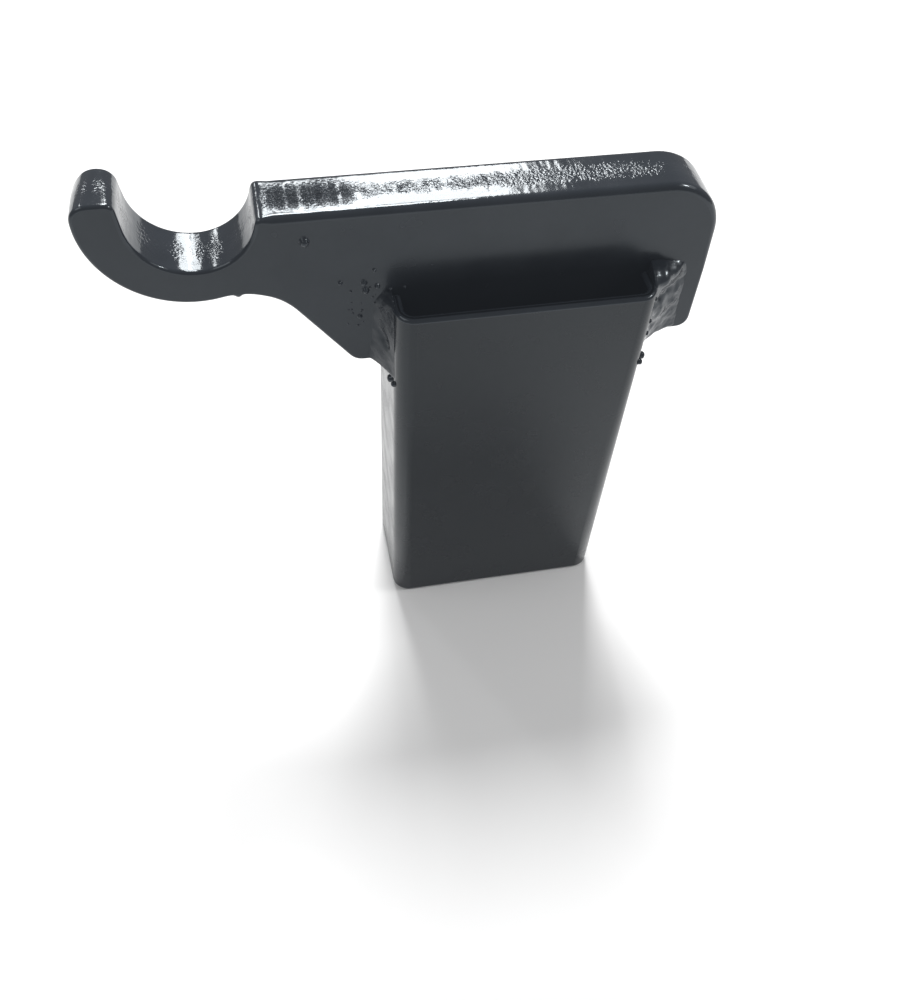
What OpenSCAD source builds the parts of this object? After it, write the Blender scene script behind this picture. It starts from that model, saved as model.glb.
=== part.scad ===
// Quick coupler hook bracket.
// A thick steel hook plate is let into two slots in the top of an upright rectangular
// tube and welded to the tube's narrow sides, in front, behind and under the plate.
// Millimetres. +X runs along the plate from the hook to the tube, +Y runs through the
// plate's thickness to the back, +Z is up. The origin lies on the axis of the round bar
// that the hook takes, at the middle of the plate's thickness.

/* [Hook] */
// Diameter of the round bar that lies in the hook
bar_d = 33.4; // [31:0.1:35]
// Radial clearance between the bar and the hook
bar_clearance = 0.3; // [0.1:0.05:0.5]
// Radius of the hook's outer curve
hook_r = 28.6; // [27.6:0.1:30]
// How far the outer curve's centre lies left of the bar's axis
hook_shift_x = 1.1; // [0.5:0.1:1.5]
// How far the outer curve's centre lies above the bar's axis
hook_shift_z = 0.6; // [0:0.1:1]
// Height of the hook's tip above the bar's axis
tip_rise = 6.9; // [5.5:0.1:9]
// Radius of the tip's outer corner
tip_outer_r = 5; // [3:0.5:5.5]
// Radius of the tip's inner corner
tip_inner_r = 2.5; // [1:0.5:3]
// Angle by which the tip's inner side leans away from the bar
mouth_flare = 5; // [0:1:8]

/* [Plate] */
// Thickness of the hook plate
plate_t = 18; // [14:1:20]
// Height of the plate where it crosses the tube
plate_h = 56; // [50:1:62]
// How far the plate's straight top edge lies below the bar's axis
top_drop = 1.3; // [0.5:0.1:3]
// Distance from the bar's axis to the plate's right end
plate_reach = 151.3; // [146:0.1:158]
// Radius of the top right corner
corner_top_r = 18; // [10:1:24]
// Radius of the bottom right corner
corner_low_r = 4; // [2:1:8]
// Radius of the corner where the slope meets the bottom edge
heel_r = 5; // [2:1:8]
// Radius of the hollow curve under the neck
neck_r = 19.9; // [18:0.1:21]
// Angle that sets where the hook's curve passes into the hollow curve
neck_angle = 13; // [11:0.5:15]
// Slope of the straight edge below the neck
slope_angle = 54; // [50:1:58]

/* [Tube] */
// Width of the rectangular tube
tube_w = 80; // [70:1:84]
// Depth of the rectangular tube
tube_d = 40; // [38:1:50]
// Wall thickness of the tube
tube_wall = 3; // [2.5:0.5:4]
// Outside corner radius of the tube
tube_r = 6; // [5:0.5:7]
// Length of the tube
tube_len = 145; // [110:1:200]
// Distance from the bar's axis to the tube's centre
tube_reach = 93; // [91:0.5:95]
// How far the tube's centre lies in front of the plate's middle
tube_forward = 2; // [0:0.5:2]
// Height of the tube's top end above the plate's bottom edge
slot_depth = 26.5; // [22:0.5:32]
// Clearance between the plate and each side of its slot
slot_gap = 0.25; // [0.1:0.05:0.5]

/* [Welds] */
// Width of the left welds on the plate
weld_leg_left = 6.5; // [5:0.5:9]
// Width of the right welds on the plate
weld_leg_right = 13; // [8:0.5:14]
// Angle round the tube's corner that the front welds reach
weld_wrap = 12; // [5:1:40]
// Distance from one weld ripple to the next
ripple_pitch = 2.3; // [1.8:0.1:4]
// Height of the weld ripples
ripple_h = 0.22; // [0:0.02:0.4]

/* [Hidden] */

$fn = 96;
far = 20;           // reach of the cutting shapes past the solid
blend = 0.02;       // how far two curves that pass into each other cross

seat_r = bar_d / 2 + bar_clearance;
top_z = -top_drop;
low_z = top_z - plate_h;
front_y = -plate_t / 2;
back_y = plate_t / 2;
tube_top = low_z + slot_depth;
tube_foot = tube_top - tube_len;
tube_y = -tube_forward;
flat_front = front_y - (tube_y - tube_d / 2 + tube_r);
flat_back = tube_y + tube_d / 2 - tube_r - back_y;

// Centres and passing points of the curves round the hook and neck, in the XZ plane
hook_c = [-hook_shift_x, hook_shift_z];
neck_c = hook_c + (hook_r + neck_r - blend) * [sin(neck_angle), -cos(neck_angle)];
neck_end = neck_c + (neck_r - blend) * [sin(slope_angle), cos(slope_angle)];
nub_r = 0.9;        // nub left on the neck where the flame cut ended
nub_c = neck_c + [0, neck_r];
heel_x = neck_end[0] + (neck_end[1] - low_z) / tan(slope_angle);
heel_c = [heel_x + heel_r / tan(90 - slope_angle / 2), low_z + heel_r];

// Left side of the hook's mouth
mouth_x = -seat_r * cos(mouth_flare);
mouth_z = -seat_r * sin(mouth_flare);
mouth_top = tip_rise + far;
function mouth_left(z) = mouth_x - (z - mouth_z) * tan(mouth_flare);

// Centres of the tip's corner curves
tip_oz = tip_rise - tip_outer_r;
tip_oc = [hook_c[0] - sqrt(pow(hook_r - tip_outer_r, 2) - pow(tip_oz - hook_c[1], 2)), tip_oz];
tip_oa = atan2(tip_oc[1] - hook_c[1], tip_oc[0] - hook_c[0]);
tip_iz = tip_rise - tip_inner_r;
tip_ic = [mouth_left(tip_iz) - tip_inner_r / cos(mouth_flare), tip_iz];

function dir(a) = [cos(a), sin(a)];

// What is cut away outside a rounded corner: a wedge from the corner's centre, between
// the directions a1 and a2, less the round itself
module round_off(c, r, a1, a2) {
    mid = (a1 + a2) / 2;
    reach = r + far / 4;
    spread = reach / cos((a2 - a1) / 2);
    difference() {
        polygon([c, c + reach * dir(a1), c + spread * dir(mid), c + reach * dir(a2)]);
        translate(c) circle(r + blend);
    }
}

// Outline of the hook plate, drawn with X to the right and Z up
module plate_outline() {
    split = [hook_c[0] + (hook_c[1] - top_z) * tan(neck_angle), top_z];
    hook_low = hook_c[1] - hook_r - far;
    hook_left = hook_c[0] - hook_r - far;
    difference() {
        union() {
            intersection() {
                translate(hook_c) circle(hook_r);
                polygon([[hook_left, tip_rise], [hook_c[0], tip_rise], [hook_c[0], -seat_r / 2],
                    [neck_c[0], -seat_r / 2], [neck_c[0], hook_low], [hook_left, hook_low]]);
            }
            polygon([split, neck_c, neck_end, [heel_x, low_z], [plate_reach, low_z],
                [plate_reach, top_z]]);
        }
        circle(seat_r);
        polygon([[mouth_x, mouth_z], [mouth_left(mouth_top), mouth_top], [0, mouth_top],
            [0, mouth_z]]);
        difference() {
            translate(neck_c) circle(neck_r);
            translate(nub_c) circle(nub_r);
        }
        round_off(tip_oc, tip_outer_r, 90, tip_oa);
        round_off(tip_ic, tip_inner_r, mouth_flare, 90);
        round_off([plate_reach - corner_top_r, top_z - corner_top_r], corner_top_r, 0, 90);
        round_off([plate_reach - corner_low_r, low_z + corner_low_r], corner_low_r, -90, 0);
        round_off(heel_c, heel_r, 270 - slope_angle, 270);
    }
}

// Rectangle with round corners, centred
module round_rect(w, d, r) {
    square([w - 2 * r, d], center = true);
    square([w, d - 2 * r], center = true);
    for (sx = [-1, 1], sy = [-1, 1])
        translate([sx * (w / 2 - r), sy * (d / 2 - r)]) circle(r);
}

// Weld beads. A bead fills the inside corner between the plate and the tube. Its section
// is drawn with the corner at [0, 0], the plate along +x and the tube along -y; the
// tube's flat side ends after a distance and then bends away round the tube's corner.
// A bead's face is hollow where its crown is negative.
bite = 0.5;         // depth by which a bead is fused into the plate and the tube
section_n = 9;      // steps across a bead
section_m = section_n + 2;
ring_step = 0.95;   // distance between two sections along a bead
back_leg = 7.5;     // width of the back welds on the plate
back_wrap = 40;     // angle round the tube's corner that the back welds reach
under_left = [4, 3.5];  // width of the left weld under the plate: on the plate, on the tube
under_right = [8, 7];   // width of the right weld under the plate: on the plate, on the tube
under_past = 0.8;   // how far the welds under the plate run past its faces
fill_left = 12;     // extra angle that the left front weld reaches round the tube's corner
crown_end = 3.2;    // length of a bead's rounded top end
tail_end = 7;       // length of a bead's tapered bottom end

function bead_toe(flat, wrap) =
    [-tube_r * (1 - cos(wrap)) - bite * cos(wrap), -flat - tube_r * sin(wrap) + bite * sin(wrap)];
function bead_wave(s, phase) =
    1 + 0.14 * sin(40 * s + phase) + 0.08 * sin(97 * s + 2 * phase);
function bead_ripple(s, t) =
    ripple_h * abs(sin(180 * (s + 5 * t * (1 - t)) / ripple_pitch)) * sin(180 * t);
function bead_end(s, low, high, low_len, high_len) =
    s > high - high_len ? sqrt(max(0.12, 1 - pow((s - high + high_len) / high_len, 2))) :
    s < low + low_len ? max(0.3, (s - low) / low_len) : 1;
function bead_point(s, t, leg, flat, wrap, crown, phase, e) =
    let (a = [leg * e * (0.96 + 0.04 * bead_wave(s, phase)), bite],
        b = bead_toe(flat * e, wrap * e),
        d = b - a,
        n = [-d[1], d[0]] / norm(d),
        p = a + d * t + n * e * (crown * 4 * t * (1 - t) * bead_wave(s, phase)
            + bead_ripple(s, t)))
    [p[0], p[1], s];

module bead(low, high, leg, flat, wrap, crown, phase, low_len = tail_end,
        high_len = crown_end) {
    rings = ceil((high - low) / ring_step);
    points = [for (i = [0:rings]) let (s = low + (high - low) * i / rings,
            e = bead_end(s, low, high, low_len, high_len))
        each concat([for (j = [0:section_n])
            bead_point(s, j / section_n, leg, flat, wrap, crown, phase, e)],
            [[-bite, bite, s]])];
    sides = [for (i = [0:rings - 1], j = [0:section_m - 1])
        let (a = i * section_m + j, b = i * section_m + (j + 1) % section_m)
        each [[a, b, b + section_m], [a, b + section_m, a + section_m]]];
    last = rings * section_m;
    polyhedron(points, concat(sides, [[for (j = [section_m - 1:-1:0]) j]],
        [[for (j = [0:section_m - 1]) last + j]]), convexity = 4);
}

// Stands a bead in one of the four corners between the plate and the tube
module in_corner(side, face) {
    translate([tube_reach + side * tube_w / 2, face * plate_t / 2, 0])
        scale([side, -face, 1]) children();
}

// Lays a bead under the plate, along the plate's thickness
module under_plate(side) {
    translate([tube_reach + side * tube_w / 2, 0, low_z])
        scale([side, 1, 1]) rotate([90, 0, 0]) children();
}

// Weld spatter on the plate's front: [x, z, radius]
plate_balls = [[29.5, -9.7, 1.2], [38.6, -25.3, 0.6], [45.4, -26, 0.8], [45.9, -28.9, 0.9],
    [49.3, -27.7, 0.7], [48.5, -21.7, 0.5], [44, -38.7, 0.6]];
// Weld spatter at the tube: [side, degrees round its corner, distance below its top, radius]
corner_balls = [[-1, -25, 31.2, 1.3], [-1, 10, 30, 0.9], [1, 12, 28.6, 1.3], [1, 30, 29.8, 1.0],
    [1, 12, 19, 0.8], [1, 12, 14, 0.8], [1, 12, 5, 0.7]];
ball_sunk = 0.3;    // part of a ball's radius that its centre stands off the surface

module hook_plate() {
    color([0.07, 0.075, 0.08]) translate([0, back_y, 0]) rotate([90, 0, 0])
        linear_extrude(plate_t) plate_outline();
}

module post_tube() {
    color([0.07, 0.075, 0.08]) difference() {
        translate([tube_reach, tube_y, tube_foot]) linear_extrude(tube_len) difference() {
            round_rect(tube_w, tube_d, tube_r);
            round_rect(tube_w - 2 * tube_wall, tube_d - 2 * tube_wall, tube_r - tube_wall);
        }
        translate([tube_reach - tube_w / 2 - far, front_y - slot_gap, low_z])
            cube([tube_w + 2 * far, plate_t + 2 * slot_gap, slot_depth + far]);
    }
}

module weld_front_left() {
    color([0.09, 0.09, 0.095]) in_corner(-1, -1)
        bead(low_z - 2, tube_top + 1, weld_leg_left, flat_front, weld_wrap + fill_left,
            crown = -0.4, phase = 20, low_len = 1.5, high_len = 4);
}

module weld_front_right() {
    color([0.09, 0.09, 0.095]) in_corner(1, -1)
        bead(low_z - 5, tube_top + 3, weld_leg_right, flat_front, weld_wrap,
            crown = -0.6, phase = 110);
}

module weld_back_left() {
    color([0.09, 0.09, 0.095]) in_corner(-1, 1)
        bead(low_z - 4, tube_top + 0.5, back_leg, flat_back, back_wrap,
            crown = 0.7, phase = 200);
}

module weld_back_right() {
    color([0.09, 0.09, 0.095]) in_corner(1, 1)
        bead(low_z - 4, tube_top + 1, back_leg + 0.5, flat_back, back_wrap,
            crown = 0.9, phase = 300);
}

module weld_under_left() {
    color([0.09, 0.09, 0.095]) under_plate(-1)
        bead(front_y - under_past, back_y + under_past, under_left[0], under_left[1], 0,
            crown = -0.5, phase = 60, low_len = 2, high_len = 2);
}

module weld_under_right() {
    color([0.09, 0.09, 0.095]) under_plate(1)
        bead(front_y - under_past, back_y + under_past, under_right[0], under_right[1], 0,
            crown = -0.9, phase = 150, low_len = 2, high_len = 2);
}

module weld_spatter() {
    color([0.06, 0.06, 0.065]) {
        for (b = plate_balls)
            translate([b[0], front_y - b[2] * ball_sunk, b[1]]) sphere(b[2]);
        for (b = corner_balls)
            translate([tube_reach + b[0] * (tube_w / 2 - tube_r), tube_y - tube_d / 2 + tube_r,
                    tube_top - b[2]])
                translate((tube_r + b[3] * ball_sunk) * [b[0] * cos(b[1]), -sin(b[1]), 0])
                    sphere(b[3]);
    }
}

hook_plate();
post_tube();
weld_front_left();
weld_front_right();
weld_back_left();
weld_back_right();
weld_under_left();
weld_under_right();
weld_spatter();
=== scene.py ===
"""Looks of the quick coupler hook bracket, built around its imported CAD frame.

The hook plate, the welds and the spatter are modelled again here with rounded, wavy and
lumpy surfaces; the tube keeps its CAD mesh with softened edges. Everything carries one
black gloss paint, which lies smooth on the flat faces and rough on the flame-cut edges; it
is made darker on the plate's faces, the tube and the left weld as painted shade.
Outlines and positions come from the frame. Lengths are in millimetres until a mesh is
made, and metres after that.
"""

import math

import bmesh
import bpy
import numpy as np
from mathutils import Matrix, Vector, noise

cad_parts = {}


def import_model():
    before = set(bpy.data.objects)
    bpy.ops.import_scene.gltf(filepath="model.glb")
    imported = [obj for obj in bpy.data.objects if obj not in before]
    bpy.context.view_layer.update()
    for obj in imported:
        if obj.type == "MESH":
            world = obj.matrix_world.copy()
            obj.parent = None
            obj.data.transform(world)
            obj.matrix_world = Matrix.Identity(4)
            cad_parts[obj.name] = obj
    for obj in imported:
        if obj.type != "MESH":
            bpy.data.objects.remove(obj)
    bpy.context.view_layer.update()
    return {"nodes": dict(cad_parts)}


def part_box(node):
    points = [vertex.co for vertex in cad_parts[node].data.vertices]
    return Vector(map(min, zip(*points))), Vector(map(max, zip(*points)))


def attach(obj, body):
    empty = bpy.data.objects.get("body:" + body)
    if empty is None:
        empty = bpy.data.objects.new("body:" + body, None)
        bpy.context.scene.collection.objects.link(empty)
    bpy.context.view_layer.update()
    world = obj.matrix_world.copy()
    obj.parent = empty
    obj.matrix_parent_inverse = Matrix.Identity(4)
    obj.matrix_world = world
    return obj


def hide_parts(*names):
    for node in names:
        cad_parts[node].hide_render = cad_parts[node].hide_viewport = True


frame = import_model()

MM = 0.001

# Boxes of the CAD nodes, in millimetres
plate_low, plate_high = (np.array(c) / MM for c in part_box("hook_plate"))
tube_low, tube_high = (np.array(c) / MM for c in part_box("post_tube"))
floor_z = tube_low[2]
tube_corner_r = 6.0     # outside radius of the tube's corners


# ---------------------------------------------------------------- mesh helpers

def closed_mesh(name, verts, faces):
    """A mesh whose faces all look outwards."""
    mesh = bpy.data.meshes.new(name)
    mesh.from_pydata(verts, [], faces)
    edit = bmesh.new()
    edit.from_mesh(mesh)
    bmesh.ops.recalc_face_normals(edit, faces=edit.faces)
    edit.to_mesh(mesh)
    edit.free()
    return mesh


def make_piece(name, verts, faces, materials, face_slots=None):
    """Makes a closed smooth piece from points in millimetres; it rides on the root body."""
    mesh = closed_mesh(name, [tuple(v * MM for v in p) for p in verts], faces)
    for material in materials:
        mesh.materials.append(material)
    if face_slots is not None:
        mesh.polygons.foreach_set("material_index", face_slots)
    mesh.polygons.foreach_set("use_smooth", [len(p.vertices) <= 4 for p in mesh.polygons])
    obj = bpy.data.objects.new(name, mesh)
    bpy.context.collection.objects.link(obj)
    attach(obj, "root")
    return obj


def band_faces(rings, n):
    """Four-sided faces between neighbouring rings of n points each."""
    faces = []
    for k in range(rings - 1):
        for i in range(n):
            j = (i + 1) % n
            faces.append((k * n + i, k * n + j, (k + 1) * n + j, (k + 1) * n + i))
    return faces


def cap_faces(rings, n):
    """The flat faces that close the first ring and the last."""
    return [tuple(range(n)), tuple((rings - 1) * n + i for i in range(n))]


def joined(parts):
    """Puts the points and faces of several parts into one list each."""
    verts, faces = [], []
    for part_verts, part_faces in parts:
        faces += [tuple(i + len(verts) for i in f) for f in part_faces]
        verts += part_verts
    return verts, faces


def noise3(points, size, seed):
    """Smooth noise from -1 to 1 at each point, with lumps about `size` millimetres across."""
    shift = Vector((seed * 7.3, seed * 3.1, seed * 5.7))
    return np.array([noise.noise(Vector(p) / size + shift) for p in points])


def face_loop(node, y):
    """The closed outline [x, z] of a CAD node's flat face at height y, in millimetres."""
    mesh = frame["nodes"][node].data
    mesh.calc_loop_triangles()
    points = [tuple(round(c / MM, 4) for c in v.co) for v in mesh.vertices]
    count = {}
    for triangle in mesh.loop_triangles:
        corners = [points[i] for i in triangle.vertices]
        if all(abs(p[1] - y) < 0.001 for p in corners):
            flat = [(p[0], p[2]) for p in corners]
            for a, b in zip(flat, flat[1:] + flat[:1]):
                count[(a, b)] = count.get((a, b), 0) + 1
    step = {a: b for a, b in count if (b, a) not in count}
    start = next(iter(step))
    loop = [start]
    while step[loop[-1]] != start:
        loop.append(step[loop[-1]])
    loop = np.array(loop)
    x, z = loop.T
    area = np.sum(x * np.roll(z, -1) - z * np.roll(x, -1)) / 2
    return loop if area > 0 else loop[::-1]


def turning(loop):
    """Angle in degrees by which a closed outline turns at each point, left positive."""
    a = loop - np.roll(loop, 1, axis=0)
    b = np.roll(loop, -1, axis=0) - loop
    cross = a[:, 0] * b[:, 1] - a[:, 1] * b[:, 0]
    return np.degrees(np.arctan2(cross, np.sum(a * b, axis=1)))


def resample(loop, step):
    """A closed outline with its points spaced evenly, about `step` apart."""
    closed = np.vstack([loop, loop[:1]])
    run = np.concatenate([[0], np.cumsum(np.linalg.norm(np.diff(closed, axis=0), axis=1))])
    n = round(run[-1] / step)
    at = np.arange(n) * run[-1] / n
    return np.column_stack([np.interp(at, run, closed[:, k]) for k in (0, 1)])


def ease_corner(loop, corner, reach):
    """Replaces the outline near a sharp corner by a curve that starts `reach` away."""
    near = np.linalg.norm(loop - corner, axis=1) < reach
    first = np.flatnonzero(near & ~np.roll(near, 1))[0]
    loop = np.roll(loop, -first, axis=0)
    near = np.roll(near, -first)
    rest = loop[~near]
    t = np.linspace(0, 1, 11)[1:-1, None]
    curve = (1 - t) ** 2 * rest[-1] + 2 * t * (1 - t) * corner + t ** 2 * rest[0]
    return np.vstack([rest, curve])


def soften(loop, passes):
    """Rounds the facets of a closed outline by averaging each point with its neighbours."""
    for _ in range(passes):
        loop = (np.roll(loop, 1, axis=0) + 2 * loop + np.roll(loop, -1, axis=0)) / 4
    return loop


# ---------------------------------------------------------------- materials

paint_ior = 1.47
reflection_tint = (0.87, 0.95, 1.0, 1)
paint_dark = Vector((0.0195, 0.0230, 0.0285))
paint_light = Vector((0.0245, 0.0285, 0.0350))
shade_size = 14         # size of the paint's darker and lighter areas
polish_size = 9         # size of its glossier and duller areas

# Rough band along the middle of a flame-cut surface
grain_size = 0.8        # size of its grain
grain_depth = 0.24      # height of its grain
patch_size = 2.4        # size of its rougher and smoother patches
rib_size = 3.6          # spacing of the ribs across it, near the hook
rib_gain = 4.2          # how much rougher the ribs are
# Distances from the band's middle, in metres, between which it fades out
band_y = (0.0004, 0.0046)
wide_band_y = (0.0030, 0.0066)
# Places along the object, in metres: where the ribs end, and where the band widens again
ribs_end_x = (0.036, 0.050)
far_end_x = (0.095, 0.130)
# Stretches along the object over which the band's roughness changes, and how
band_fades = [((0.0185, 0.0205), (0.06, 1.0)), ((0.122, 0.140), (1.0, 0.25))]


def noise_field(tree, place, size, detail=2.0):
    """Soft noise from 0 to 1 over a piece, with lumps about `size` millimetres across."""
    field = tree.nodes.new("ShaderNodeTexNoise")
    field.inputs["Scale"].default_value = 1 / (size * MM)
    field.inputs["Detail"].default_value = detail
    tree.links.new(place, field.inputs["Vector"])
    return field.outputs["Fac"]


def stripes(tree, along, size):
    """Noise from 0 to 1 that changes only along the object."""
    field = tree.nodes.new("ShaderNodeTexNoise")
    field.noise_dimensions = "1D"
    field.inputs["Scale"].default_value = 1 / (size * MM)
    field.inputs["Detail"].default_value = 1.0
    tree.links.new(along, field.inputs["W"])
    return field.outputs["Fac"]


def spread(tree, value, source, target):
    """Eases a value from one range to another, and holds it still outside the first."""
    node = tree.nodes.new("ShaderNodeMapRange")
    node.interpolation_type = "SMOOTHSTEP"
    tree.links.new(value, node.inputs["Value"])
    for key, v in zip(("From Min", "From Max", "To Min", "To Max"), (*source, *target)):
        node.inputs[key].default_value = v
    return node.outputs["Result"]


def combine(tree, operation, a, b=None):
    """Adds or multiplies the values a and b, or takes the absolute value of a alone."""
    node = tree.nodes.new("ShaderNodeMath")
    node.operation = operation
    tree.links.new(a, node.inputs[0])
    if b is not None:
        tree.links.new(b, node.inputs[1])
    return node.outputs[0]


def bump(tree, height, depth, before=None):
    """Relief of the given depth in millimetres, added to the relief `before`."""
    node = tree.nodes.new("ShaderNodeBump")
    node.inputs["Distance"].default_value = depth * MM
    tree.links.new(height, node.inputs["Height"])
    if before is not None:
        tree.links.new(before, node.inputs["Normal"])
    return node.outputs["Normal"]


def cut_relief(tree, place):
    """Height of the rough band that a flame cut leaves under the paint, and how rough it is."""
    split = tree.nodes.new("ShaderNodeSeparateXYZ")
    tree.links.new(place, split.inputs[0])
    along = split.outputs["X"]
    across = combine(tree, "ABSOLUTE", split.outputs["Y"])
    near_hook = spread(tree, along, ribs_end_x, (1.0, 0.0))
    near_ends = combine(tree, "ADD", near_hook, spread(tree, along, far_end_x, (0.0, 0.5)))
    ribs = spread(tree, stripes(tree, along, rib_size), (0.38, 0.58), (0.0, rib_gain))
    wide = combine(tree, "MULTIPLY", near_ends, spread(tree, across, wide_band_y, (0.7, 0.0)))
    band = combine(tree, "ADD", spread(tree, across, band_y, (1.0, 0.0)), wide)
    patches = spread(tree, noise_field(tree, place, patch_size, 3.0), (0.3, 0.75), (0.2, 1.5))
    amount = combine(tree, "ADD", patches, combine(tree, "MULTIPLY", near_hook, ribs))
    amount = combine(tree, "MULTIPLY", band, amount)
    for stretch, change in band_fades:
        amount = combine(tree, "MULTIPLY", amount, spread(tree, along, stretch, change))
    grain = spread(tree, noise_field(tree, place, grain_size, 1.0), (0.0, 1.0), (-0.5, 0.5))
    return combine(tree, "MULTIPLY", grain, amount), amount


def paint_colour(tree, place, painted_shade_scale):
    """The paint's slightly uneven black, darkened by the given factor as painted shade."""
    shade = tree.nodes.new("ShaderNodeValToRGB")
    ramp = shade.color_ramp
    ramp.interpolation = "EASE"
    for element, position, colour in ((ramp.elements[0], 0.3, paint_dark),
                                      (ramp.elements[1], 0.7, paint_light)):
        element.position = position
        element.color = (*(colour * painted_shade_scale), 1)
    tree.links.new(noise_field(tree, place, shade_size), shade.inputs["Fac"])
    return shade.outputs["Color"]


def gloss_paint(name, coat_size, coat_depth, roughness, painted_shade_scale=1.0, shine=0.5, cut=False):
    """Black gloss paint. coat_size and coat_depth, in millimetres, set the orange peel; the shade
    factor darkens its colour, which is painted shade; shine scales its reflections; cut adds
    the relief of a flame cut."""
    material = bpy.data.materials.new(name)
    material.use_nodes = True
    tree = material.node_tree
    shader = tree.nodes["Principled BSDF"]
    shader.inputs["IOR"].default_value = paint_ior
    shader.inputs["Specular IOR Level"].default_value = shine
    shader.inputs["Specular Tint"].default_value = reflection_tint
    place = tree.nodes.new("ShaderNodeTexCoord").outputs["Object"]
    tree.links.new(paint_colour(tree, place, painted_shade_scale), shader.inputs["Base Color"])
    rough = spread(tree, noise_field(tree, place, polish_size), (0.2, 0.8), roughness)
    normal = bump(tree, noise_field(tree, place, coat_size), coat_depth)
    if cut:
        height, amount = cut_relief(tree, place)
        normal = bump(tree, height, grain_depth, normal)
        rough = combine(tree, "ADD", rough, spread(tree, amount, (0.0, 2.0), (0.0, 0.05)))
    tree.links.new(rough, shader.inputs["Roughness"])
    tree.links.new(normal, shader.inputs["Normal"])
    return material


# Painted shade: the same black paint is made darker on the plate's faces and the left weld, and
# darkest on the tube, where it stands in for the shadowed floor that the tube reflects.
paint_face = gloss_paint("paint_face", 2.2, 0.012, (0.20, 0.28), painted_shade_scale=0.72, shine=0.47)
paint_cut = gloss_paint("paint_cut", 0.9, 0.02, (0.08, 0.13), cut=True)
paint_tube = gloss_paint("paint_tube", 2.6, 0.015, (0.20, 0.30), painted_shade_scale=0.22, shine=0.44)
paint_rim = gloss_paint("paint_rim", 1.6, 0.012, (0.07, 0.12))
paint_weld_left = gloss_paint("paint_weld_left", 1.2, 0.03, (0.16, 0.26), painted_shade_scale=0.7, shine=0.3)
paint_weld_right = gloss_paint("paint_weld_right", 1.2, 0.03, (0.12, 0.24))


# ---------------------------------------------------------------- hook plate

edge_r = 2.1            # rounding of the plate's edges along its top
hook_edge_r = 1.1       # rounding of the edges round the hook and along the bottom
outline_step = 0.5      # spacing of the points along the plate's outline
edge_steps = 7          # steps round an edge
side_steps = 28         # steps across the thickness, between the rounded edges
nub_height = 0.9        # height of the nub that the flame cut left on the neck
nub_width = 0.9         # how far the nub spreads along the outline
nub_turn = -35          # turn of the outline, in degrees, where the nub meets it
corner_reach = 2.0      # distance from the sharp corner at which its rounding starts
top_start = 0.5         # distance past that corner where the edges' rounding starts to grow
top_run = 4             # length over which it grows
low_start = 32          # depth below that corner, up to which the rounding stays least
low_run = 15            # height over which they grow from there
outline_passes = 4      # passes of averaging along the outline

# Waves of the flame-cut surface
cut_crown = 0.09        # how far the surface falls away towards its edges
drag_depth = 0.03       # depth of the lines that the flame drags across it
drag_pitch = 1.3        # spacing of those lines
wave_depth = 0.05       # depth of its waves
start_depth = 0.10      # extra depth of the waves near the sharp corner
start_place = 8         # distance past that corner where they are deepest
start_width = 14        # how far the deeper waves spread from there
grit_depth = 0.012      # depth of its finest unevenness

# Droop of the hook's tip towards its back edge
tip_x = 7.2             # distance of the tip's middle from the plate's left end
tip_half = 5.5          # half the tip's width
tip_reach = 9           # height over which it droops
side_droop = 2.6        # how far its sides fall away
back_droop = 1.0        # how far its middle falls away


def plate_curve():
    """The plate's outline without the flame-cut nub, the nub's place and the sharp corner."""
    loop = face_loop("hook_plate", plate_low[1])
    feet = np.flatnonzero(turning(loop) < nub_turn)
    nub = loop[feet].mean(axis=0)
    nub_r = np.linalg.norm(loop[feet[0]] - nub)
    loop = loop[np.linalg.norm(loop - nub, axis=1) > nub_r - 0.01]
    corner = loop[np.argmax(turning(loop))]
    loop = ease_corner(resample(loop, outline_step), corner, corner_reach)
    return soften(resample(loop, outline_step), outline_passes), nub, corner


def tip_droop(ring):
    """How far the hook's tip falls away towards its back edge and its sides."""
    back = np.clip((ring[:, 1] - plate_low[1]) / (plate_high[1] - plate_low[1]), 0, 1)
    near = np.clip((ring[:, 2] - plate_high[2] + tip_reach) / tip_reach, 0, 1) * (ring[:, 0] < 0)
    aside = (ring[:, 0] - plate_low[0] - tip_x) / tip_half
    return near * (side_droop * back ** 1.5 * aside ** 2 + back_droop * back ** 1.2)


def edge_radius(loop, corner):
    """Rounding of the plate's edges at each point: large along the top and the far end."""
    past = np.clip((loop[:, 0] - corner[0] - top_start) / top_run, 0, 1)
    upper = np.clip((loop[:, 1] - corner[1] + low_start) / low_run, 0, 1)
    return hook_edge_r + (edge_r - hook_edge_r) * past * upper


def edge_rings(edge):
    """Each ring's place across the thickness and how far its rounded edge pulls it in."""
    front, back = plate_low[1], plate_high[1]
    turns = np.linspace(0, math.pi / 2, edge_steps + 1)
    rings = [(front + edge * (1 - math.cos(a)), 1 - math.sin(a)) for a in turns]
    for k in range(1, side_steps):
        rings.append((front + edge + k / side_steps * (back - front - 2 * edge), 0.0))
    return rings + [(back - edge * (1 - math.sin(a)), 1 - math.cos(a)) for a in turns]


def cut_wave(ring, corner):
    """How far the flame-cut surface waves inwards at each point of a ring."""
    x, y = ring[:, 0], ring[:, 1]
    middle = 1 - np.abs(y) / plate_high[1]
    run = np.arange(len(ring)) * outline_step
    drag = np.array([noise.noise(Vector((s / drag_pitch + 0.3 * m * m, 4.0, 0.05 * v)))
                     for s, m, v in zip(run, middle, y)])
    start = np.exp(-((x - corner[0] - start_place) / start_width) ** 2) * (x > corner[0])
    wave = drag_depth * drag + (wave_depth + start_depth * start) * noise3(ring, 4.5, 1)
    wave += grit_depth * noise3(ring, 1.6, 2)
    wave += cut_crown * np.abs(y / (0.78 * plate_high[1])) ** 3
    return np.minimum(1, 0.25 + 1.8 * middle) * wave


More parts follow.
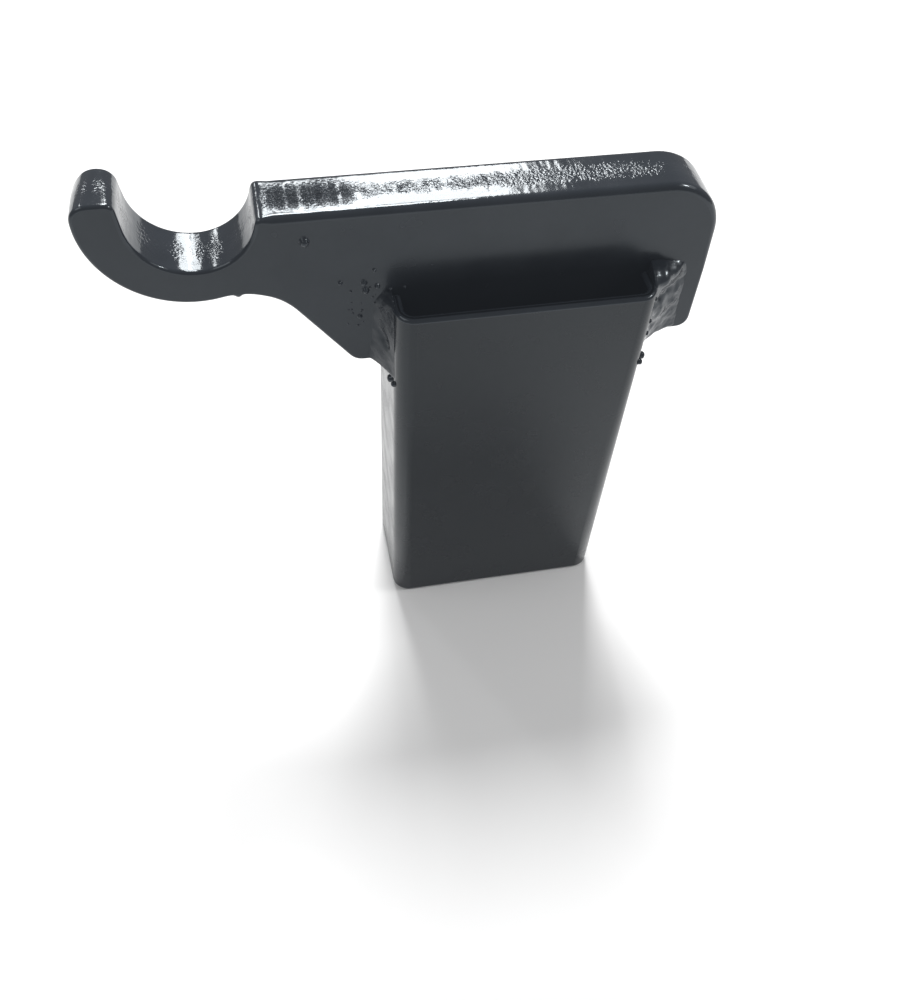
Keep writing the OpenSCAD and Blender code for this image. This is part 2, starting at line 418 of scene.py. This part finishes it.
def hook_plate():
    """The flame-cut plate: flat faces, rounded edges and a wavy cut surface between them."""
    loop, nub, corner = plate_curve()
    n = len(loop)
    along = np.roll(loop, -1, axis=0) - np.roll(loop, 1, axis=0)
    along /= np.linalg.norm(along, axis=1)[:, None]
    inward = np.column_stack([-along[:, 1], along[:, 0]])
    bulge = nub_height * np.exp(-(np.linalg.norm(loop - nub, axis=1) / nub_width) ** 2)
    edge = edge_radius(loop, corner)
    rings = edge_rings(edge)
    verts = []
    for y, inset in rings:
        ring = np.column_stack([loop[:, 0], y, loop[:, 1]])
        depth = edge * inset + (1 - inset) * (cut_wave(ring, corner) - bulge)
        ring[:, [0, 2]] += inward * depth[:, None]
        ring[:, 2] -= tip_droop(ring)
        verts += [tuple(p) for p in ring]
    sides = band_faces(len(rings), n)
    ends = cap_faces(len(rings), n)
    slots = [1] * len(sides) + [0] * len(ends)
    piece = make_piece("plate", verts, sides + ends, [paint_face, paint_cut], slots)
    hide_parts("hook_plate")


hook_plate()


# ---------------------------------------------------------------- tube

tube_edge_r = 1.2       # rounding of the tube's cut edges
tube_edge_steps = 5     # steps round those edges


def post_tube():
    """Paints the CAD tube and rounds its cut edges, which take a glossier paint."""
    tube = frame["nodes"]["post_tube"]
    tube.data.materials.clear()
    tube.data.materials.append(paint_tube)
    tube.data.materials.append(paint_rim)
    merge = tube.modifiers.new("merge", "WELD")
    merge.merge_threshold = 0.00001
    flat = tube.modifiers.new("flat", "DECIMATE")
    flat.decimate_type = "DISSOLVE"
    flat.angle_limit = math.radians(0.5)
    edges = tube.modifiers.new("edges", "BEVEL")
    edges.width = tube_edge_r * MM
    edges.segments = tube_edge_steps
    edges.material = 1
    edges.limit_method = "ANGLE"
    edges.angle_limit = math.radians(50)
    edges.harden_normals = True


post_tube()


# ---------------------------------------------------------------- welds

bite = 0.5          # depth by which a bead reaches into the steel behind it
feather = 1.0       # length of a bead's thin edge that runs on below the steel's surface
hollow = 0.36       # how far a bead's face sinks towards its corner, 0 to 1
bead_rows = 20      # steps across a bead
bead_step = 0.6     # distance between two sections along a bead
voxel = 0.3         # size of the grid on which the beads of one side are fused


def bead(low, high, leg, flat, wrap, seed, tail=6.5, head=3.2, slant=0.0, toe=0.0):
    """A hollow weld bead in the corner at u = 0, v = 0, as points [u, v, s] and faces. u runs
    along the plate, v along the tube and s along the bead. slant raises its low end away
    from the tube; toe makes it run out flatter on the plate."""
    rings = math.ceil((high - low) / bead_step)
    verts = []
    for i in range(rings + 1):
        s = low + (high - low) * i / rings
        end = 1.0
        if s > high - head:
            end = math.sqrt(max(0.03, 1 - ((s - high + head) / head) ** 2))
        elif s < low + tail:
            end = max(0.2, (s - low) / tail)
        wobble = noise.noise(Vector((s / 3.1, seed, 0)))
        turn = math.radians(wrap) * end
        wide = leg * end * (1 + 0.12 * wobble) * (1 - 0.5 * toe * (s - low) / (high - low))
        a = Vector((wide + feather, -bite))
        b = Vector((-tube_corner_r * (1 - math.cos(turn)) - bite * math.cos(turn),
                    flat * end + (tube_corner_r + feather) * math.sin(turn)))
        knee = (a + b) / 2 * (1 - hollow * (1 + 0.3 * wobble))
        knee = Vector((knee.x * (1 + toe), knee.y * (1 - toe)))
        lift = slant * max(0, 1 - (s - low) / 10)
        for j in range(bead_rows + 1):
            t = j / bead_rows
            p = (1 - t) ** 2 * a + 2 * t * (1 - t) * knee + t * t * b
            verts.append((p.x, p.y, s + lift * max(0, min(1, p.x / leg))))
        verts.append((-bite, -bite, s))
    m = bead_rows + 2
    return verts, band_faces(rings + 1, m) + cap_faces(rings + 1, m)


def fuse(parts):
    """Joins closed parts into one closed surface: its points, their normals and its faces."""
    rough = bpy.data.objects.new("rough", closed_mesh("rough", *joined(parts)))
    bpy.context.collection.objects.link(rough)
    remesh = rough.modifiers.new("fuse", "REMESH")
    remesh.mode = "VOXEL"
    remesh.voxel_size = voxel
    smooth = rough.modifiers.new("smooth", "SMOOTH")
    smooth.factor = 0.5
    smooth.iterations = 5
    bpy.context.view_layer.update()
    done = rough.evaluated_get(bpy.context.evaluated_depsgraph_get()).to_mesh()
    points = np.array([v.co for v in done.vertices])
    normals = np.array([v.normal for v in done.vertices])
    polygons = [tuple(p.vertices) for p in done.polygons]
    bpy.data.objects.remove(rough)
    return points, normals, polygons


# Shapes of the upright beads
weld_shapes = {
    ("front", "left"): dict(wrap=30, tail=0.5, head=5.0, slant=2.2, toe=0.75),
    ("front", "right"): dict(wrap=12, head=4.5),
    ("back", "left"): dict(wrap=38),
    ("back", "right"): dict(wrap=38),
}
# Height of the lumps on the welds
weld_lumps = {"left": 0.13, "right": 0.28}
# Dents and humps in the front welds: distance from the tube's side, distance from the
# plate, height above the tube's top end, size and height
weld_marks = {
    "left": [(3.4, 2.6, -13.0, 1.4, -0.5), (2.8, 3.6, -15.0, 1.5, -0.7), (2.2, 4.8, -17.0, 1.3, -0.5),
             (0.4, 10.2, -1.5, 1.0, -0.8), (0.2, 10.4, -3.5, 0.9, -0.7), (4.0, 3.0, -22.0, 3.5, 0.4)],
    "right": [(4.0, 5.0, -0.3, 3.8, 1.7), (8.2, 2.6, -0.8, 3.0, 0.8), (1.5, 7.0, -9.5, 1.6, -1.0),
              (4.0, 5.0, -8.2, 1.6, -1.1), (6.8, 3.4, -6.6, 1.6, -1.0), (9.5, 2.0, -5.0, 1.4, -0.6),
              (10.5, 1.6, -9.0, 1.5, 0.7), (10.0, 1.6, -13.0, 1.5, 0.7), (5.0, 4.2, -14.5, 3.2, 0.7),
              (3.0, 5.6, -19.0, 1.5, -0.6)],
}


def weld_group(side, paint):
    """The welds at one narrow side of the tube, fused: in front, behind and under the plate."""
    word = "left" if side < 0 else "right"
    corner_x = tube_low[0] if side < 0 else tube_high[0]
    foot = plate_low[2]
    boxes = {f: [np.array(c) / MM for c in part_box(f"weld_{f}_{word}")]
             for f in ("front", "back", "under")}

    def reach(face):
        low, high = boxes[face]
        return (corner_x - low[0]) if side < 0 else (high[0] - corner_x)

    parts = []
    for face, sign in (("front", -1), ("back", 1)):
        plate_y = plate_low[1] if sign < 0 else plate_high[1]
        tube_y = tube_low[1] if sign < 0 else tube_high[1]
        flat = abs(tube_y - plate_y) - tube_corner_r
        low, high = boxes[face]
        shape = weld_shapes[face, word]
        verts, faces = bead(low[2], high[2], reach(face), flat, seed=3.7 * side + sign, **shape)
        parts.append(([(corner_x + side * u, plate_y + sign * v, s) for u, v, s in verts], faces))
    low, high = boxes["under"]
    verts, faces = bead(low[1], high[1], reach("under"), foot - low[2], 0, 8.1 * side,
                        tail=2, head=2)
    parts.append(([(corner_x + side * u, s, foot - v) for u, v, s in verts], faces))
    points, normals, polygons = fuse(parts)
    rise = weld_lumps[word] * (noise3(points, 3.4, 11 + side) + 0.3 * noise3(points, 1.4, 15))
    for u, v, z, size, height in weld_marks[word]:
        mark = np.array([corner_x + side * u, plate_low[1] - v, tube_high[2] + z])
        rise += height * np.exp(-np.sum(((points - mark) / size) ** 2, axis=1))
    points = points + normals * rise[:, None]
    piece = make_piece(f"weld_{word}", points.tolist(), polygons, [paint])
    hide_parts(*(f"weld_{f}_{word}" for f in boxes))


weld_group(-1, paint_weld_left)
weld_group(1, paint_weld_right)


# ---------------------------------------------------------------- spatter

spatter_segments = 20   # points round a drop
plate_skirt = 1.35      # how far a drop on the plate flares out, in radii
tube_skirt = 1.1        # the same for a drop on the tube
stray_skirt = 1.4       # the same for a stray drop
grain_skirt = 1.6       # the same for a fine grain
fine_grains = 18        # number of fine grains left of the tube
# Stray drops: distance right of the tube's left side, height above its top, and radius
stray_drops = [(0.3, 1.5, 0.4), (4.4, 1.8, 0.35)]


def islands(node):
    """Centre and radius of each separate ball of a CAD node, in millimetres."""
    mesh = frame["nodes"][node].data
    points = np.array([v.co for v in mesh.vertices]) / MM
    _, same = np.unique(points.round(3), axis=0, return_inverse=True)
    same = same.ravel()
    group = np.arange(same.max() + 1)

    def root(i):
        while group[i] != i:
            i = group[i]
        return i

    for a, b in (e.vertices for e in mesh.edges):
        group[root(same[a])] = root(same[b])
    label = np.array([root(i) for i in same])
    found = []
    for k in np.unique(label):
        part = points[label == k]
        low, high = part.min(axis=0), part.max(axis=0)
        found.append(((low + high) / 2, (high - low).min() / 2))
    return found


def surface_under(centre):
    """Point and outward direction of the painted surface under a spatter ball."""
    if abs(centre[1] - plate_low[1]) < 1:
        return np.array([centre[0], plate_low[1], centre[2]]), Vector((0, -1, 0))
    side = 1 if centre[0] > (tube_low[0] + tube_high[0]) / 2 else -1
    wall_x = tube_high[0] if side > 0 else tube_low[0]
    axis = np.array([wall_x - side * tube_corner_r, tube_low[1] + tube_corner_r])
    if centre[1] > axis[1]:
        return np.array([wall_x, centre[1], centre[2]]), Vector((side, 0, 0))
    out = Vector((centre[0] - axis[0], centre[1] - axis[1], 0)).normalized()
    return np.array([*axis, centre[2]]) + np.array(out) * tube_corner_r, out


def droplet(place, out, radius, skirt, seed):
    """A paint-covered ball of spatter that flares out where it sits on the steel."""
    profile = [(0.45, 1.22), (0.8, 1.0), (0.98, 0.66), (0.97, 0.4), (0.5 + skirt / 2, 0.16),
               (skirt, 0.0), (skirt * 1.1, -0.3)]
    turn = out.to_track_quat("Z", "Y").to_matrix()
    verts = []
    for wide, tall in profile:
        for i in range(spatter_segments):
            a = 2 * math.pi * i / spatter_segments
            lump = 1 + 0.16 * noise.noise(Vector((math.cos(a), math.sin(a), tall + seed)) * 1.3)
            p = Vector((wide * lump * math.cos(a), wide * lump * math.sin(a), tall)) * radius
            verts.append(tuple(Vector(place) + turn @ p))
    n = spatter_segments
    faces = band_faces(len(profile), n)
    for ring, tall in ((0, 1.3), (len(profile) - 1, -0.3)):
        verts.append(tuple(Vector(place) + turn @ Vector((0, 0, tall * radius))))
        tip = len(verts) - 1
        faces += [(ring * n + i, ring * n + (i + 1) % n, tip) for i in range(n)]
    return verts, faces


def spatter():
    """Balls of weld spatter where the CAD has them, and fine grains around them."""
    parts = []
    for k, (centre, radius) in enumerate(islands("weld_spatter")):
        place, out = surface_under(centre)
        skirt = plate_skirt if out.y < -0.99 else tube_skirt
        parts.append(droplet(place, out, radius, skirt, k))
    forward = Vector((0, -1, 0))
    draw = np.random.default_rng(4)
    for k in range(fine_grains):
        x = tube_low[0] - 13 + 9 * draw.random()
        z = tube_high[2] + 6 - 18 * draw.random()
        radius = 0.13 + 0.17 * draw.random() ** 2
        parts.append(droplet((x, plate_low[1], z), forward, radius, grain_skirt, 50 + k))
    for x, z, radius in stray_drops:
        place = (tube_low[0] + x, plate_low[1], tube_high[2] + z)
        parts.append(droplet(place, forward, radius, stray_skirt, 90 + x))
    verts, faces = joined(parts)
    piece = make_piece("spatter", verts, faces, [paint_weld_right])
    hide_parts("weld_spatter")


spatter()


# ---------------------------------------------------------------- floor, light and camera

floor_size = 1.3        # half the floor's side, in metres
floor_tone = 0.88
sky_strength = 0.24
lamp_distance = 3.0     # from the object to each light, in metres
lamp_aim = Vector((0.06, 0, 0))
# The lights: azimuth from +Y towards +X and elevation in degrees, width and height in
# metres, and radiance
lamps = {
    "window": (11.0, 37, 0.66, 0.68, 18),
    "window_left": (-1.5, 40.4, 0.68, 0.33, 18),
    "key": (6, 57, 0.80, 0.80, 35),
    "window_sill": (-1.8, 35.3, 0.22, 0.22, 18),
    "side_window": (-28, 28, 0.18, 0.55, 16),
    "right_lamp": (96, 42, 0.52, 0.34, 34),
    "left_box": (-95, 50, 2.0, 1.5, 1.8),
    "right_box": (96, 38, 2.0, 1.25, 1.3),
}
camera_place = (0.01805, -0.23371, 0.17239)
camera_right = (0.9806, -0.1900, 0.0471)
camera_up = (0.1265, 0.7986, 0.5883)
camera_lens = 36.65     # focal length in millimetres, for a sensor 36 mm wide
camera_shift = (0.0061, 0.0131)
black_level = (-0.0095, -0.0108, -0.0128)


def floor():
    """A plain pale sheet that the tube stands on."""
    size = floor_size
    mesh = bpy.data.meshes.new("floor")
    z = floor_z * MM
    mesh.from_pydata([(-size, -size, z), (size, -size, z), (size, size, z), (-size, size, z)],
                     [], [(0, 1, 2, 3)])
    material = bpy.data.materials.new("floor")
    material.use_nodes = True
    shader = material.node_tree.nodes["Principled BSDF"]
    shader.inputs["Base Color"].default_value = (floor_tone, floor_tone, floor_tone, 1)
    shader.inputs["Roughness"].default_value = 0.6
    mesh.materials.append(material)
    obj = bpy.data.objects.new("floor", mesh)
    bpy.context.collection.objects.link(obj)


def lamp(name, azimuth, elevation, width, height, radiance):
    """A rectangular light that faces the object."""
    light = bpy.data.lights.new(name, "AREA")
    light.shape = "RECTANGLE"
    light.size = width
    light.size_y = height
    light.energy = radiance * math.pi * width * height
    az, el = math.radians(azimuth), math.radians(elevation)
    away = Vector((math.sin(az) * math.cos(el), math.cos(az) * math.cos(el), math.sin(el)))
    obj = bpy.data.objects.new(name, light)
    obj.location = lamp_aim + away * lamp_distance
    obj.rotation_euler = away.to_track_quat("Z", "Y").to_euler()
    bpy.context.collection.objects.link(obj)


def world(brightness):
    """Even white surroundings."""
    sky = bpy.data.worlds.new("world")
    sky.use_nodes = True
    background = sky.node_tree.nodes["Background"]
    background.inputs["Strength"].default_value = brightness
    background.inputs["Color"].default_value = (1, 1, 1, 1)
    bpy.context.scene.world = sky


def camera():
    """The camera: above and in front, looking steeply down."""
    lens = bpy.data.cameras.new("camera")
    lens.sensor_width = 36
    lens.lens = camera_lens
    lens.shift_x, lens.shift_y = camera_shift
    lens.clip_start = 0.01
    obj = bpy.data.objects.new("camera", lens)
    right = Vector(camera_right).normalized()
    up = Vector(camera_up)
    up = (up - right * up.dot(right)).normalized()
    out = right.cross(up)
    turn = Matrix((right, up, out)).transposed().to_4x4()
    obj.matrix_world = Matrix.Translation(camera_place) @ turn
    bpy.context.collection.objects.link(obj)
    bpy.context.scene.camera = obj


def view_look():
    """Plain colours, with the deepest blacks lifted a little."""
    look = bpy.context.scene.view_settings
    look.view_transform = "Standard"
    look.use_curve_mapping = True
    look.curve_mapping.black_level = black_level
    look.curve_mapping.update()


floor()
world(sky_strength)
for name, settings in lamps.items():
    lamp(name, *settings)
camera()
view_look()
